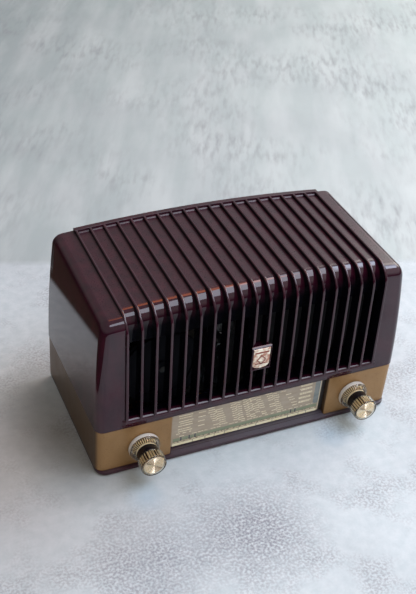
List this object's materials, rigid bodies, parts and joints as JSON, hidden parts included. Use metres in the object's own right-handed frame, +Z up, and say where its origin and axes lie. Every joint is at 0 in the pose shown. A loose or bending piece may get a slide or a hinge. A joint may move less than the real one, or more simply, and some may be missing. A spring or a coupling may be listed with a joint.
{
  "type": "tabletop radio",
  "caption": "Compact valve tabletop radio: ribbed moulded cabinet, backlit dial, two pairs of concentric knobs, loudspeaker and vented rear cover.",
  "frame": {"origin": "bottom centre of the whole box, knobs included, on the surface the radio stands on", "axes": "+X to the right seen from the front, front faces -Y, +Z up"},
  "size_m": [0.2896, 0.167, 0.1664],
  "materials": {
    "bakelite": "glossy burgundy phenolic moulding",
    "gold_lacquer": "satin gold-brown lacquer on sheet metal",
    "dial_print": "glass printed on its rear face",
    "clear_acrylic": "clear turned acrylic",
    "brass": "spun and lacquered",
    "zinc_steel": "zinc plated sheet",
    "aluminium": "drawn or pressed, satin",
    "black_phenolic": "satin black",
    "speaker_cloth": "plain woven, black",
    "hardboard": "pressed fibre board, satin",
    "cone_paper": "felted paper",
    "valve_glass": "clear blown glass",
    "braided_cord": "braided, waxed",
    "rubber": "matt black"
  },
  "bodies": {
    "cabinet": {"cabinet_shell": "bakelite", "badge_block": "bakelite", "badge_emblem": "brass", "trim_band_left": "gold_lacquer", "trim_band_right": "gold_lacquer", "dial_glass": "dial_print", "dial_backplate": "aluminium", "dial_cord": "braided_cord", "drive_bracket": "zinc_steel", "capacitor_frame": "zinc_steel", "chassis": "zinc_steel", "tone_control": "hardboard", "volume_control": "zinc_steel", "waveband_switch": "hardboard", "speaker_baffle": "black_phenolic", "speaker_cloth": "speaker_cloth", "speaker_basket": "zinc_steel", "speaker_magnet": "zinc_steel", "output_transformer": "zinc_steel", "frequency_changer_valve": "valve_glass", "detector_valve": "valve_glass", "output_valve": "valve_glass", "rectifier_valve": "valve_glass", "if_can_1": "aluminium", "if_can_2": "aluminium", "smoothing_capacitor": "aluminium", "dial_lamp_left": "valve_glass", "dial_lamp_right": "valve_glass", "rear_cover": "hardboard", "rear_screw_1": "zinc_steel", "rear_screw_2": "zinc_steel", "rear_screw_3": "zinc_steel", "rear_screw_4": "zinc_steel", "aerial_socket_strip": "black_phenolic", "foot_1": "rubber", "foot_2": "rubber", "foot_3": "rubber", "foot_4": "rubber"},
    "tuning_knob": {"tuning_knob": "clear_acrylic", "tuning_knob_disc": "brass", "tuning_collar": "black_phenolic", "tuning_spindle": "zinc_steel"},
    "volume_knob": {"volume_knob": "clear_acrylic", "volume_knob_disc": "brass", "volume_collar": "black_phenolic", "volume_spindle": "zinc_steel"},
    "tone_ring": {"tone_ring": "clear_acrylic", "tone_sleeve": "brass"},
    "waveband_ring": {"waveband_ring": "clear_acrylic", "waveband_sleeve": "brass"},
    "tuning_drum": {"drive_drum": "black_phenolic", "capacitor_rotor": "aluminium"},
    "pointer": {"dial_pointer": "gold_lacquer"},
    "left_pulley": {"pulley_left": "brass"},
    "middle_pulley": {"pulley_middle": "brass"},
    "right_pulley": {"pulley_right": "brass"},
    "cone": {"speaker_cone": "cone_paper"}
  },
  "joints": [
    {"name": "tuning_turn", "type": "hinge", "parent": "cabinet", "child": "tuning_knob", "pos_m": [0.103, -0.0565, 0.0245], "axis": [0, 1, 0], "range_deg": [-1020, 1020]},
    {"name": "drum_turn", "type": "hinge", "parent": "cabinet", "child": "tuning_drum", "pos_m": [-0.082, -0.0365, 0.09], "axis": [0, 1, 0], "range_deg": [-90.5, 90.5]},
    {"name": "pointer_slide", "type": "slide", "parent": "cabinet", "child": "pointer", "axis": [1, 0, 0], "range_m": [-0.0535, 0.0535]},
    {"name": "left_pulley_turn", "type": "hinge", "parent": "cabinet", "child": "left_pulley", "pos_m": [-0.112, -0.0395, 0.054], "axis": [0, 1, 0], "range_deg": [-766, 766]},
    {"name": "middle_pulley_turn", "type": "hinge", "parent": "cabinet", "child": "middle_pulley", "pos_m": [-0.044, -0.0373, 0.044], "axis": [0, 1, 0], "range_deg": [-766, 766]},
    {"name": "right_pulley_turn", "type": "hinge", "parent": "cabinet", "child": "right_pulley", "pos_m": [0.102, -0.0395, 0.046], "axis": [0, 1, 0], "range_deg": [-766, 766]},
    {"name": "volume_turn", "type": "hinge", "parent": "cabinet", "child": "volume_knob", "pos_m": [-0.103, -0.0565, 0.0245], "axis": [0, 1, 0], "range_deg": [0, 290]},
    {"name": "tone_turn", "type": "hinge", "parent": "cabinet", "child": "tone_ring", "pos_m": [-0.103, -0.0565, 0.0245], "axis": [0, 1, 0], "range_deg": [-135, 135]},
    {"name": "waveband_turn", "type": "hinge", "parent": "cabinet", "child": "waveband_ring", "pos_m": [0.103, -0.0565, 0.0245], "axis": [0, 1, 0], "range_deg": [-30, 30]},
    {"name": "cone_travel", "type": "slide", "parent": "cabinet", "child": "cone", "axis": [0, 1, 0], "range_m": [-0.0008, 0.0008], "stiffness_N_per_m": 1000}
  ],
  "couplings": [
    {"joint": "drum_turn", "follows": "tuning_turn", "ratio": -0.088235},
    {"joint": "pointer_slide", "follows": "tuning_turn", "m_per_rad": 0.003},
    {"joint": "left_pulley_turn", "follows": "tuning_turn", "ratio": -0.75},
    {"joint": "middle_pulley_turn", "follows": "tuning_turn", "ratio": 0.75},
    {"joint": "right_pulley_turn", "follows": "tuning_turn", "ratio": 0.75}
  ]
}
